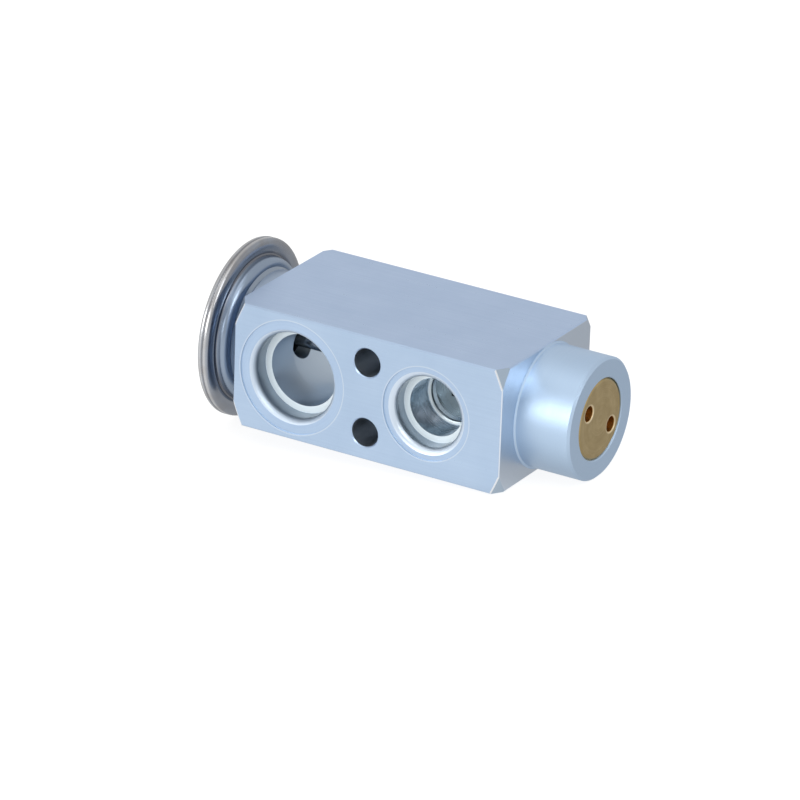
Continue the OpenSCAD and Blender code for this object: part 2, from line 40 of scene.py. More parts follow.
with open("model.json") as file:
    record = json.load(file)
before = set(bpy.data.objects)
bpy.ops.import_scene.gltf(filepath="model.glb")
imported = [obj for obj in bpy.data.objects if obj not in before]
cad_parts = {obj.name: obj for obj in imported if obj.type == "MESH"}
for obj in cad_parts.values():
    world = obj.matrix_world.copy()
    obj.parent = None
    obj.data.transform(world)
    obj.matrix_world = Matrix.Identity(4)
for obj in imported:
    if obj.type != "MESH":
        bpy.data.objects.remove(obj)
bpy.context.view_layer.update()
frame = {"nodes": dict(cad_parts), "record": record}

# Sizes of the valve in millimetres and degrees, as in the part's source
BLOCK_HALF, FRONT_FACE, BACK_FACE = 33.0, 19.2, 18.1
HEAD_CUT_R, BOSS_CUT_R, CUT_SLOPE = 20.9, 21.4, 1.2
BOSS_R, BOSS_ROOT, BOSS_END_X = 13.5, 0.35, 46.1
SCREW_Z, SCREW_MOUTH_R = 8.0, 3.45
SUCTION_X, SUCTION_BACK_X, SUCTION_SPOT_R, SUCTION_STEP_D = -18.44, -19.5, 12.83, 5.2
INLET_X, INLET_SPOT_R, INLET_BORE_D = 14.73, 10.5, 12.0
OUTLET_X, OUTLET_SPOT_R = 9.6, 8.9
LIQUID_STEP_D, SPOT_D = 4.6, 0.3
COLLAR_X = -35.95
RIM_R, RIM_ROUND, SEAM_BEVEL = 19.8, 0.6, 0.22
FLANGE_H, FLANGE_T, SHELL_T, DIAPHRAGM_T = 3.65, 1.08, 1.0, 0.14
DRUM_R, DRUM_FOOT_R, SEAT_FLAT_R, DRUM_FILLET = 16.6, 14.0, 12.9, 0.6
NECK_R, NECK_L, NECK_BORE_R, NECK_BEVEL = 9.9, 5.2, 8.6, 0.5
DOME_H, DOME_TOP_R, PLUG_R = 2.8, 9.5, 1.55
LOWER_TOP = FLANGE_H + FLANGE_T
UPPER_BASE = LOWER_TOP + DIAPHRAGM_T
ADJUSTER_R, ADJUSTER_FACE_X, ADJUSTER_L, ADJUSTER_BEVEL = 8.95, 46.0, 14.45, 0.45
ADJUSTER_NECK_R, ADJUSTER_GROOVE_R, O_LAND_W, O_GROOVE_W = 7.75, 6.35, 0.9, 1.9
THREAD_L, THREAD_BORE_R, THREAD_BORE_X = 7.5, 9.05, 35.0
SPANNER_R, SPANNER_SINK, SPANNER_PITCH_R, SPANNER_TURN, SPANNER_D = 1.7, 0.2, 5.6, -30.5, 3.2
SPRING_R, SPRING_WIRE_R, SPRING_TURNS, SPRING_START_X, SPRING_SEAT_D = 4.3, 0.5, 7, 18.654, 2.2

# Sizes of the finer forms, in millimetres
ROLL_FOOT_R, ROLL_MIDDLE_R, ROLL_RISE, ROLL_SIDE_H = 15.9, 18.0, 0.35, 0.55
PLUG_HEAD_R = PLUG_R * 1.7
NECK_PITCH, NECK_THREAD_D = 1.5, 0.75
ADJUSTER_PITCH, ADJUSTER_THREAD_D = 1.0, 0.52
SPRING_L = ADJUSTER_FACE_X - ADJUSTER_L + SPRING_SEAT_D - SPRING_START_X - 2 * SPRING_WIRE_R
SPRING_CLOSED_TURNS = 0.75
SPRING_CLOSED_PITCH = 2 * SPRING_WIRE_R * 1.04
MERGE = 0.0005

# A little beyond a surface, in millimetres, so that the surface itself is inside a mask
MARGIN = 0.02

# The photograph's camera: place in metres, lens in millimetres, directions in degrees
CAMERA_PLACE = (0.63370, -1.08981, 0.53709)
CAMERA_LENS, CAMERA_AZIMUTH, CAMERA_ELEVATION, CAMERA_ROLL = 289.16, 30.286, 23.356, 2.090


def photograph_camera():
    """Camera at the photograph's place, with a long lens and a slight roll."""
    data = bpy.data.cameras.new("photograph_view")
    data.sensor_width = 36
    data.lens = CAMERA_LENS
    data.clip_start, data.clip_end = 0.05, 20
    camera = bpy.data.objects.new("photograph_view", data)
    bpy.context.collection.objects.link(camera)
    azimuth, elevation, roll = map(math.radians, (CAMERA_AZIMUTH, CAMERA_ELEVATION, CAMERA_ROLL))
    view = Vector((-math.sin(azimuth) * math.cos(elevation),
                   math.cos(azimuth) * math.cos(elevation), -math.sin(elevation)))
    turn = view.to_track_quat("-Z", "Y").to_matrix().to_4x4() @ Matrix.Rotation(roll, 4, "Z")
    camera.matrix_world = Matrix.Translation(CAMERA_PLACE) @ turn
    bpy.context.scene.camera = camera


photograph_camera()


# Building of finishes
class Finish:
    """A procedural metal or rubber finish, built from maths on the piece's own coordinates."""

    def __init__(self, name, metallic, roughness):
        self.material = bpy.data.materials.new(name)
        self.material.use_nodes = True
        self.tree = self.material.node_tree
        self.shader = self.tree.nodes["Principled BSDF"]
        self.shader.inputs["Metallic"].default_value = metallic
        self.shader.inputs["Roughness"].default_value = roughness
        coords = self.add("ShaderNodeTexCoord")
        scaled = self.add("ShaderNodeVectorMath", operation="SCALE")
        self.plug(coords.outputs["Object"], scaled.inputs[0])
        self.plug(1 / MM, scaled.inputs["Scale"])
        self.place = scaled.outputs[0]
        self.x, self.y, self.z = self.parts(self.place)
        self.radius = self.length(self.y, self.z)
        self.angle = self.math("ARCTAN2", self.z, self.y)

    def add(self, kind, **settings):
        """New node with its settings."""
        node = self.tree.nodes.new(kind)
        for key, value in settings.items():
            setattr(node, key, value)
        return node

    def plug(self, value, socket):
        """Links an output to a socket, or sets the socket to a constant."""
        if isinstance(value, bpy.types.NodeSocket):
            self.tree.links.new(value, socket)
        else:
            socket.default_value = value

    def math(self, operation, *values):
        """One step of maths on one or two values."""
        node = self.add("ShaderNodeMath", operation=operation)
        for value, socket in zip(values, node.inputs):
            self.plug(value, socket)
        return node.outputs[0]

    def chain(self, operation, first, others):
        """The same step of maths on any number of values, from left to right."""
        for value in others:
            first = self.math(operation, first, value)
        return first

    def plus(self, first, *others):
        """Sum of the values."""
        return self.chain("ADD", first, others)

    def times(self, first, *others):
        """Product of the values; of masks, where all of them are."""
        return self.chain("MULTIPLY", first, others)

    def either(self, first, *others):
        """Greatest of the values; of masks, where any of them is."""
        return self.chain("MAXIMUM", first, others)

    def minus(self, first, second):
        """Difference of two values."""
        return self.math("SUBTRACT", first, second)

    def size(self, value):
        """A value without its sign."""
        return self.math("ABSOLUTE", value)

    def above(self, value, limit):
        """Mask of the places where the value is over the limit."""
        return self.math("GREATER_THAN", value, limit)

    def below(self, value, limit):
        """Mask of the places where the value is under the limit."""
        return self.math("LESS_THAN", value, limit)

    def length(self, a, b):
        """Length of the line across two sides at right angles."""
        return self.math("SQRT", self.plus(self.times(a, a), self.times(b, b)))

    def parts(self, vector):
        """The three parts of a vector."""
        node = self.add("ShaderNodeSeparateXYZ")
        self.plug(vector, node.inputs[0])
        return node.outputs

    def join(self, x, y, z):
        """Vector from its three parts."""
        node = self.add("ShaderNodeCombineXYZ")
        for value, socket in zip((x, y, z), node.inputs):
            self.plug(value, socket)
        return node.outputs[0]

    def rings(self, along, out, around):
        """Coordinates that change fast along and away from the long axis, for marks of a lathe."""
        return self.join(self.plus(self.times(self.x, along), self.times(self.radius, out)),
                         self.times(self.math("SINE", self.angle), around),
                         self.times(self.math("COSINE", self.angle), around))

    def facing(self):
        """The three parts of the surface's own normal."""
        return self.parts(self.add("ShaderNodeNewGeometry").outputs["Normal"])

    def ramp(self, value, low, high, to_low=0.0, to_high=1.0):
        """Straight ramp between two values, held at its ends."""
        node = self.add("ShaderNodeMapRange", clamp=True)
        for given, key in ((value, "Value"), (low, "From Min"), (high, "From Max"),
                           (to_low, "To Min"), (to_high, "To Max")):
            self.plug(given, node.inputs[key])
        return node.outputs[0]

    def mix(self, amount, first, second, kind="RGBA", blend="MIX"):
        """The first value where the amount is 0 and the second where it is 1."""
        node = self.add("ShaderNodeMix", data_type=kind)
        if kind == "RGBA":
            node.blend_type = blend
        pick = {"FLOAT": (0, 2, 3, 0), "VECTOR": (0, 4, 5, 1), "RGBA": (0, 6, 7, 2)}[kind]
        for value, index in zip((amount, first, second), pick):
            self.plug(value, node.inputs[index])
        return node.outputs[pick[3]]

    def noise(self, vector, scale, detail, rough):
        """Soft noise between 0 and 1."""
        node = self.add("ShaderNodeTexNoise")
        self.plug(vector, node.inputs["Vector"])
        node.inputs["Scale"].default_value = scale
        node.inputs["Detail"].default_value = detail
        node.inputs["Roughness"].default_value = rough
        return node.outputs["Fac"]

    def specks(self, cell, size, share):
        """Mask of small round specks: a share of the cells holds one each."""
        node = self.add("ShaderNodeTexVoronoi")
        self.plug(self.place, node.inputs["Vector"])
        node.inputs["Scale"].default_value = 1 / cell
        shade = self.add("ShaderNodeSeparateColor")
        self.plug(node.outputs["Color"], shade.inputs[0])
        near = self.ramp(node.outputs["Distance"], size / cell, size / cell * 0.5)
        return self.times(near, self.below(shade.outputs[0], share))

    def bump(self, height, strength, depth_mm):
        """Normal of a surface with small heights on it."""
        node = self.add("ShaderNodeBump")
        self.plug(strength, node.inputs["Strength"])
        node.inputs["Distance"].default_value = depth_mm * MM
        self.plug(height, node.inputs["Height"])
        return node.outputs[0]

    def wear(self, colour, roughness, normal):
        """Gives the shader its colour, roughness and normal."""
        for value, key in ((colour, "Base Color"), (roughness, "Roughness"), (normal, "Normal")):
            self.plug(value, self.shader.inputs[key])
        return self.material


def linear(red, green, blue):
    """Colour from 0 to 255 values as seen on a screen."""
    def straight(c):
        c /= 255
        return c / 12.92 if c <= 0.04045 else ((c + 0.055) / 1.055) ** 2.4
    return (straight(red), straight(green), straight(blue), 1.0)


# Finish of the aluminium block
BLOCK_TONE = {
    "dark cloud": (0.535, 0.675, 0.905, 1),
    "light cloud": (0.575, 0.715, 0.945, 1),
    "streak": (0.48, 0.61, 0.83, 1),
    "pit": (0.16, 0.18, 0.22, 1),
    "port face": (0.95, 0.965, 0.935, 1),
    "collar": (0.44, 0.53, 0.66, 1),
    "end face": (0.62, 0.69, 0.775, 1),
    "cone": (0.455, 0.55, 0.645, 1),
    "boss": (0.56, 0.715, 0.90, 1),
    # Painted highlight: a bright line along the turned corners
    "corner": (0.93, 0.96, 1.0, 1),
    # Painted highlight: a fine bright ring around each spot face
    "spot edge highlight": (0.86, 0.93, 1.0, 1),
    "spot face": (0.51, 0.64, 0.81, 1),
    "spot wall": (0.68, 0.76, 0.84, 1),
    "bore": (0.72, 0.81, 0.90, 1),
    # Painted shade in the deep inlet bore
    "deep bore shade": (0.48, 0.55, 0.59, 1),
    "suction bore": (0.60, 0.70, 0.81, 1),
    # Painted shade on the port walls past the lead-ins
    "gland": (0.30, 0.35, 0.41, 1),
    # Painted light: a pale ring on the faced steps in the ports
    "step": (0.85, 0.95, 1.0, 1),
    "lead-in": (0.74, 0.84, 0.96, 1),
    "screw hole": (0.60, 0.65, 0.71, 1),
}
# Widths of the painted highlights on the corners and around the spot faces, in millimetres
CORNER_W, SPOT_EDGE_W = 0.24, 0.2
PAST_LEAD_IN = 3.0


def end_places(f, at):
    """Masks of the places that the lathe cut at both ends of the block."""
    at.along = f.size(f.x)
    at.boss_end = f.above(f.x, 0.0)
    at.cut_r = f.mix(at.boss_end, HEAD_CUT_R, BOSS_CUT_R, "FLOAT")
    at.cone_r = f.plus(at.cut_r, f.times(f.minus(BLOCK_HALF, at.along), CUT_SLOPE))
    on_cone = f.above(f.radius, f.minus(at.cone_r, 4 * MARGIN))
    at.turned = f.either(on_cone, f.above(at.along, BLOCK_HALF - MARGIN))
    at.on_boss = f.times(f.below(f.radius, BOSS_R + BOSS_ROOT + 0.05), at.boss_end)


def port_places(f, at):
    """Masks of the ports, with the distance from a port's axis and the depth under its face."""
    at.in_front = f.below(f.y, 0.0)
    suction_x = f.mix(at.in_front, SUCTION_BACK_X, SUCTION_X, "FLOAT")
    at.suction_r = f.length(f.minus(f.x, suction_x), f.z)
    at.inlet_r = f.length(f.minus(f.x, INLET_X), f.z)
    at.outlet_r = f.length(f.minus(f.x, OUTLET_X), f.z)
    at.in_suction = f.below(at.suction_r, SUCTION_SPOT_R + MARGIN)
    at.in_inlet = f.times(at.in_front, f.below(at.inlet_r, INLET_SPOT_R + MARGIN))
    in_outlet = f.times(f.minus(1.0, at.in_front), f.below(at.outlet_r, OUTLET_SPOT_R + MARGIN))
    at.bored = f.either(at.in_suction, at.in_inlet, in_outlet)
    liquid_r = f.mix(at.in_inlet, at.suction_r, at.inlet_r, "FLOAT")
    at.port_r = f.mix(in_outlet, liquid_r, at.outlet_r, "FLOAT")
    at.depth = f.minus(f.mix(at.in_front, BACK_FACE, FRONT_FACE, "FLOAT"), f.size(f.y))


def hole_places(f, at):
    """Masks of what lies inside the ports and of the screw holes."""
    past_spot = f.above(at.depth, SPOT_D + MARGIN)
    at.in_port = f.times(at.bored, past_spot)
    screw_r = f.length(f.x, f.minus(f.size(f.z), SCREW_Z))
    at.in_screw = f.times(f.below(screw_r, SCREW_MOUTH_R + MARGIN), past_spot)
    at.inside = f.either(at.in_port, at.in_screw)
    at.faces_out = f.ramp(f.size(f.facing()["Y"]), 0.25, 0.85)
    # The deep inlet bore, which gets a painted shade
    at.deep = f.times(at.in_inlet, f.above(at.depth, INLET_BORE_D + 0.15))
    # The faced steps, which get painted light
    at.step = f.times(at.in_port, at.faces_out, f.above(at.depth, PAST_LEAD_IN), f.minus(1.0, at.deep))


def tool_marks(f, at):
    """Streaks along the drawn bar, rings on the turned ends and rings in the ports."""
    drawn = f.join(f.times(f.x, 0.035), f.times(f.y, 2.2), f.times(f.z, 2.2))
    bored = f.join(f.plus(f.times(f.y, 2.9), f.times(at.port_r, 3.3)),
                   f.times(f.z, 0.04), f.times(f.x, 0.04))
    marks = f.mix(at.turned, drawn, f.rings(2.6, 3.1, 0.25), "VECTOR")
    return f.noise(f.mix(at.bored, marks, bored, "VECTOR"), 1.0, detail=4.0, rough=0.62)


def bar_tone(f, at, streak, pits):
    """Colour of the drawn bar: cloudy and streaky, with dark pits, quieter on the port faces."""
    cloud = f.noise(f.place, 0.09, detail=3.0, rough=0.6)
    tone = f.mix(f.ramp(cloud, 0.32, 0.68), BLOCK_TONE["dark cloud"], BLOCK_TONE["light cloud"])
    tone = f.mix(f.ramp(streak, 0.35, 0.75, 0.0, 0.35), tone, BLOCK_TONE["streak"])
    tone = f.mix(f.times(pits, 0.75), tone, BLOCK_TONE["pit"])
    return f.mix(at.faces_out, tone, BLOCK_TONE["port face"], blend="MULTIPLY")


def turned_tone(f, at, tone):
    """Adds the colours of the turned collar, end face, cone and boss."""
    cut = f.mix(at.boss_end, BLOCK_TONE["collar"], BLOCK_TONE["end face"])
    cut = f.mix(f.above(f.radius, at.cut_r), cut, BLOCK_TONE["cone"])
    cut = f.mix(at.on_boss, cut, BLOCK_TONE["boss"])
    return f.mix(f.times(at.turned, 0.85), tone, cut)


def painted_edge_highlights(f, at, tone):
    """Adds painted highlights: a bright line along the corners at the turned ends and a fine bright
    ring around each spot face.
    """
    # Painted highlight along the turned corners
    corner = f.either(f.ramp(f.size(f.minus(f.radius, at.cone_r)), CORNER_W, CORNER_W / 2),
                      f.ramp(at.along, BLOCK_HALF - CORNER_W, BLOCK_HALF - CORNER_W / 2))
    corner = f.times(corner, f.below(at.depth, 0.25))
    tone = f.mix(corner, tone, BLOCK_TONE["corner"])
    # Painted highlight around each spot face
    half = SPOT_EDGE_W / 2
    liquid = f.mix(at.in_front, f.minus(at.outlet_r, OUTLET_SPOT_R + half),
                   f.minus(at.inlet_r, INLET_SPOT_R + half), "FLOAT")
    suction = f.minus(at.suction_r, SUCTION_SPOT_R + half)
    edge = f.ramp(f.math("MINIMUM", f.size(liquid), f.size(suction)), SPOT_EDGE_W, 0.08, 0.0, 0.45)
    return f.mix(f.times(edge, f.below(at.depth, MARGIN)), tone, BLOCK_TONE["spot edge highlight"])


def port_tone(f, at, tone):
    """Adds the ports: painted shade on the walls past the lead-ins and in the deep inlet bore, painted
    light on the faced steps, polished bores and dark screw holes.
    """
    wall = f.times(at.bored, f.above(at.depth, MARGIN), f.below(at.depth, SPOT_D - MARGIN))
    tone = f.mix(f.times(at.bored, 0.35), tone, BLOCK_TONE["spot face"])
    tone = f.mix(wall, tone, BLOCK_TONE["spot wall"])
    # Painted shade on the port walls past the lead-ins
    gland_end = f.mix(at.in_suction, LIQUID_STEP_D - 0.05, SUCTION_STEP_D - 0.05, "FLOAT")
    gland = f.times(at.in_port, f.ramp(at.depth, 0.9, 2.1), f.below(at.depth, gland_end))
    # Painted shade in the deep inlet bore
    bore = f.mix(at.deep, BLOCK_TONE["bore"], BLOCK_TONE["deep bore shade"])
    bore = f.mix(at.in_suction, bore, BLOCK_TONE["suction bore"])
    bore = f.mix(gland, bore, BLOCK_TONE["gland"])
    # Painted light on the faced steps
    bore = f.mix(at.step, bore, BLOCK_TONE["step"])
    bore = f.mix(f.ramp(at.depth, 1.7, 0.45), bore, BLOCK_TONE["lead-in"])
    tone = f.mix(at.in_port, tone, bore)
    return f.mix(at.in_screw, tone, BLOCK_TONE["screw hole"])


def block_roughness(f, at, streak, fine, ripple):
    """Roughness of the bar, with smoother bores and duller lead-ins, suction port and boss."""
    lead_in = f.times(at.bored, f.above(at.depth, SPOT_D), f.ramp(at.depth, 2.2, 1.5))
    return f.plus(f.mix(at.inside, 0.30, 0.22, "FLOAT"),
                  f.times(at.in_screw, 0.14),
                  f.ramp(streak, 0.25, 0.75, -0.03, 0.08),
                  f.times(ripple, f.ramp(fine, 0.3, 0.7, -0.02, 0.03)),
                  f.times(lead_in, 0.2),
                  f.times(at.in_suction, at.inside, 0.1),
                  f.times(at.on_boss, at.turned, 0.12))


def block_finish():
    """Aluminium bar: drawn streaks on the flats, turning rings on the ends and in the ports, with
    painted highlights on its edges and painted light and shade in the ports.
    """
    f = Finish("bar_aluminium", 1.0, 0.34)
    at = SimpleNamespace()
    end_places(f, at)
    port_places(f, at)
    hole_places(f, at)
    streak = tool_marks(f, at)
    fine = f.noise(f.place, 3.2, detail=2.0, rough=0.6)
    pits = f.specks(5.5, 0.22, 0.1)
    ripple = f.minus(f.mix(at.inside, 1.0, 0.3, "FLOAT"), f.times(at.in_screw, 0.25))

    tone = bar_tone(f, at, streak, pits)
    for addition in (turned_tone, painted_edge_highlights, port_tone):
        tone = addition(f, at, tone)
    # The faced steps are nearly matt, for their painted light
    f.plug(f.minus(1.0, f.times(at.step, 0.85)), f.shader.inputs["Metallic"])
    height = f.plus(f.times(streak, 0.8), f.times(fine, f.times(ripple, 0.2)))
    height = f.minus(height, f.times(pits, 1.5))
    normal = f.bump(height, f.mix(at.inside, 0.2, 0.03, "FLOAT"), 0.05)
    return f.wear(tone, block_roughness(f, at, streak, fine, ripple), normal)


# Finishes of the steel pieces
SHELL_TONE = {
    "light": (0.50, 0.55, 0.63, 1),
    "dark": (0.38, 0.42, 0.49, 1),
    "rim": (0.34, 0.365, 0.41, 1),
    "drum": (0.325, 0.40, 0.51, 1),
    # Painted shade in the groove between the roll and the drum
    "groove": (0.21, 0.22, 0.25, 1),
    # Painted highlight on the rim's outer edge
    "edge": (0.62, 0.63, 0.65, 1),
    "seam": (0.3, 0.3, 0.31, 1),
    # Painted shade where the drum's foot meets the block
    "crevice_shade": (0.34, 0.40, 0.48, 1),
    "straw": linear(140, 124, 106),
    "blue band": linear(96, 112, 140),
}
SHELL_ROUGH = (0.17, 0.27)


def ringed_steel(name, light, dark, roughness):
    """Start of a steel finish: the finish, its fine rings about the long axis and its tone."""
    f = Finish(name, 1.0, roughness)
    streak = f.noise(f.rings(2.7, 3.0, 0.5), 1.0, detail=3.0, rough=0.6)
    cloud = f.noise(f.place, 0.22, detail=3.0, rough=0.65)
    tone = f.mix(f.ramp(f.plus(streak, f.minus(cloud, 0.5)), 0.3, 0.7), dark, light)
    return f, streak, tone


def steel_finish(name, light, dark, rough_low, rough_high):
    """Turned or drawn steel with fine rings about the long axis."""
    f, streak, tone = ringed_steel(name, light, dark, rough_low)
    return f.wear(tone, f.ramp(streak, 0.3, 0.7, rough_low, rough_high), f.bump(streak, 0.2, 0.03))


def rim_tone(f, tone, drum):
    """Adds the colours of the rolled rim and the drum, painted shade in the groove between them and
    where the drum's foot meets the block, and a painted highlight on the rim's outer edge.
    """
    on_rim = f.ramp(f.radius, ROLL_FOOT_R + 0.7, ROLL_FOOT_R + 1.3)
    tone = f.mix(f.times(on_rim, 0.8), tone, SHELL_TONE["rim"])
    tone = f.mix(drum, tone, SHELL_TONE["drum"])
    # Painted shade in the groove between the roll and the drum
    groove = f.times(f.ramp(f.radius, ROLL_FOOT_R, ROLL_FOOT_R + 0.2),
                     f.ramp(f.radius, ROLL_FOOT_R + 1.3, ROLL_FOOT_R + 0.7))
    tone = f.mix(groove, tone, SHELL_TONE["groove"])
    # Painted highlight on the rim's outer edge, where it faces away from the axis
    edge = f.times(f.ramp(f.radius, RIM_R - 0.6, RIM_R - 0.3),
                   f.ramp(f.size(f.facing()["X"]), 0.75, 0.25))
    tone = f.mix(edge, tone, SHELL_TONE["edge"])
    seam = f.size(f.minus(f.x, COLLAR_X - LOWER_TOP - DIAPHRAGM_T / 2))
    tone = f.mix(f.times(f.ramp(seam, 0.2, 0.1), edge), tone, SHELL_TONE["seam"])
    # Painted shade where the drum's foot meets the block
    crevice_shade = f.times(f.ramp(f.radius, DRUM_FOOT_R + 0.35, DRUM_FOOT_R - 0.15),
                      f.above(f.x, COLLAR_X - 1.6))
    return f.mix(crevice_shade, tone, SHELL_TONE["crevice_shade"])


def annealed_tone(f, tone):
    """Adds faint straw and blue colours of heat beside the edge weld."""
    near = f.ramp(f.radius, RIM_R - 2.4, RIM_R - 0.3)
    patch = f.ramp(f.noise(f.place, 0.16, detail=2.0, rough=0.6), 0.42, 0.66)
    tone = f.mix(f.times(near, patch, 0.3), tone, SHELL_TONE["straw"])
    band = f.times(f.ramp(f.radius, RIM_R - 3.6, RIM_R - 1.6),
                   f.ramp(f.radius, RIM_R - 0.9, RIM_R - 1.8))
    return f.mix(f.times(band, 0.075), tone, SHELL_TONE["blue band"])


def shell_finish():
    """Pressed stainless steel of the head, a little duller on its drum."""
    f, streak, tone = ringed_steel("stainless_shell", SHELL_TONE["light"], SHELL_TONE["dark"],
                                   SHELL_ROUGH[0])
    drum = f.times(f.ramp(f.radius, ROLL_FOOT_R + 0.5, ROLL_FOOT_R + 0.1),
                   f.above(f.x, COLLAR_X - FLANGE_H - 0.2))
    tone = annealed_tone(f, rim_tone(f, tone, drum))
    rough = f.plus(f.ramp(streak, 0.3, 0.7, *SHELL_ROUGH), f.times(drum, 0.08))
    return f.wear(tone, rough, f.bump(streak, 0.2, 0.03))


# Finishes of brass and rubber
BRASS_TONE = {
    "dark cloud": (0.47, 0.36, 0.18, 1),
    "light cloud": (0.55, 0.43, 0.225, 1),
    "streak": (0.36, 0.25, 0.11, 1),
    # Painted highlight on the lips of the spanner holes
    "hole lip": (0.86, 0.72, 0.48, 1),
    "hole": (0.62, 0.36, 0.10, 1),
}
RUBBER_TONE = {"dark": (0.018, 0.018, 0.02, 1), "light": (0.035, 0.035, 0.038, 1)}


def brass_finish():
    """Free-cutting brass: facing rings about the long axis, a little tarnish."""
    f = Finish("turned_brass", 1.0, 0.38)
    streak = f.noise(f.rings(3.1, 3.6, 0.3), 1.0, detail=3.0, rough=0.6)
    cloud = f.noise(f.place, 0.35, detail=3.0, rough=0.6)
    tone = f.mix(f.ramp(cloud, 0.35, 0.65), BRASS_TONE["dark cloud"], BRASS_TONE["light cloud"])
    tone = f.mix(f.ramp(streak, 0.4, 0.8, 0.0, 0.35), tone, BRASS_TONE["streak"])
    turn = math.radians(SPANNER_TURN)
    along = f.plus(f.times(f.y, math.cos(turn)), f.times(f.z, math.sin(turn)))
    across = f.minus(f.times(f.z, math.cos(turn)), f.times(f.y, math.sin(turn)))
    hole = f.length(f.minus(f.size(along), SPANNER_PITCH_R), across)
    # Painted highlight on the lips of the spanner holes
    lip_highlight = f.times(f.ramp(hole, SPANNER_R + 0.5, SPANNER_R + 0.25), f.above(f.x, ADJUSTER_FACE_X - 0.3))
    tone = f.mix(lip_highlight, tone, BRASS_TONE["hole lip"])
    bored = f.times(f.below(hole, SPANNER_R + 0.05), f.below(f.x, ADJUSTER_FACE_X - 0.15))
    tone = f.mix(bored, tone, BRASS_TONE["hole"])
    return f.wear(tone, f.ramp(streak, 0.3, 0.7, 0.34, 0.46), f.bump(streak, 0.15, 0.03))


def rubber_finish():
    """Black sealing rubber, faintly oily, with a mottled skin."""
    f = Finish("sealing_rubber", 0.0, 0.45)
    grain = f.noise(f.place, 9.0, detail=2.0, rough=0.6)
    patch = f.noise(f.place, 0.8, detail=2.0, rough=0.6)
    tone = f.mix(f.ramp(patch, 0.35, 0.65), RUBBER_TONE["dark"], RUBBER_TONE["light"])
    return f.wear(tone, f.ramp(patch, 0.3, 0.7, 0.38, 0.55), f.bump(grain, 0.2, 0.01))


FINISH = {
    "body_aluminium": block_finish(),
    "head_steel": shell_finish(),
    "diaphragm_steel": steel_finish("spring_sheet", linear(205, 206, 208), linear(180, 182, 185),
                                    0.2, 0.3),
    "inner_steel": steel_finish("turned_steel", linear(186, 188, 191), linear(150, 152, 156),
                                0.28, 0.4),
    "stem_steel": steel_finish("ground_rod", linear(158, 163, 170), linear(132, 137, 144),
                               0.16, 0.24),
    "ball_steel": steel_finish("bearing_ball", linear(222, 222, 224), linear(206, 206, 209),
                               0.06, 0.1),
    "spring_steel": steel_finish("oiled_wire", linear(120, 120, 122), linear(84, 84, 88),
                                 0.3, 0.42),
    "adjuster_brass": brass_finish(),
    "seal_rubber": rubber_finish(),
}
for part in frame["record"]["subparts"]:
    shape = frame["nodes"][part["node"]].data
    shape.materials.clear()
    shape.materials.append(FINISH[part["material_slot"]])


# Modelling helpers
def plain_mesh(name, bm):
    """Turns a bmesh in millimetres into a mesh in metres."""
    bmesh.ops.remove_doubles(bm, verts=bm.verts, dist=MERGE)
    bmesh.ops.recalc_face_normals(bm, faces=bm.faces)
    bmesh.ops.scale(bm, vec=(MM, MM, MM), verts=bm.verts)
    mesh = bpy.data.meshes.new(name)
    bm.to_mesh(mesh)
    bm.free()
    return mesh


def smooth(mesh, sharp=32):
    """Smooth shading with edges kept sharp above an angle in degrees."""
    mesh.shade_smooth()
    mesh.set_sharp_from_angle(angle=math.radians(sharp))


def placed(name, mesh):
    """Puts a mesh or a lamp into the scene as an object at the origin."""
    piece = bpy.data.objects.new(name, mesh)
    bpy.context.collection.objects.link(piece)
    return piece


def finished(name, bm, slot, body, replaced=(), sharp=32):
    """Makes a piece from a bmesh in millimetres, dresses it and lets it ride on its body."""
    mesh = plain_mesh(name, bm)
    smooth(mesh, sharp)
    mesh.materials.append(FINISH[slot])
    piece = placed(name, mesh)
    if body:
        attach(piece, body)
    if replaced:
        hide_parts(*replaced)
    return piece


def turned(outline, closed, steps=160):
    """Turns an outline of (x, radius) points about the long axis."""
    bm = bmesh.new()
    verts = [bm.verts.new((x, 0, r)) for x, r in outline]
    edges = [bm.edges.new(pair) for pair in zip(verts, verts[1:])]
    if closed:
        edges.append(bm.edges.new((verts[-1], verts[0])))
    bmesh.ops.spin(bm, geom=verts + edges, cent=(0, 0, 0), axis=(1, 0, 0), angle=TAU,
                   steps=steps, use_merge=True, use_duplicate=False)
    bmesh.ops.remove_doubles(bm, verts=bm.verts, dist=MERGE)
    return bm


def run(start, end, step):
    """Evenly spaced values from start to end, about a step apart."""
    count = max(1, round(abs(end - start) / step))
    return [start + (end - start) * i / count for i in range(count + 1)]


def polar(vert):
    """Distance of a point from the long axis and its angle about it."""
    return math.hypot(vert.co.y, vert.co.z), math.atan2(vert.co.z, vert.co.y)


def spread(vert, factor):
    """Moves a point away from the long axis by a factor."""
    vert.co.y *= factor
    vert.co.z *= factor


# Threads
GROOVE_WIDTH, FLANK_SLOPE = 1.25, 1.9


def groove_depth(vert, pitch, extra=0.0):
    """Depth of a right-hand thread's groove at a point, from 0 on the crest to 1 on the root."""
    turn = (vert.co.x / pitch - polar(vert)[1] / TAU) % 1.0
    return min(1.0, max(0.0, GROOVE_WIDTH - abs(2 * turn - 1) * FLANK_SLOPE + extra))


def run_out(vert, pitch, first_x, last_x):
    """Falls from 1 to 0 over the last pitch at both ends of a thread."""
    return max(0.0, min(1.0, (vert.co.x - first_x) / pitch, (last_x - vert.co.x) / pitch))


def cut_thread(bm, crest, depth, pitch, first_x, last_x):
    """Cuts a right-hand thread into the wall at the crest radius between two places."""
    for vert in bm.verts:
        radius = polar(vert)[0]
        if abs(radius - crest) > 0.02 or not first_x - 0.001 < vert.co.x < last_x + 0.001:
            continue
        cut = depth * groove_depth(vert, pitch) * run_out(vert, pitch, first_x, last_x)
        spread(vert, 1 - cut / radius)


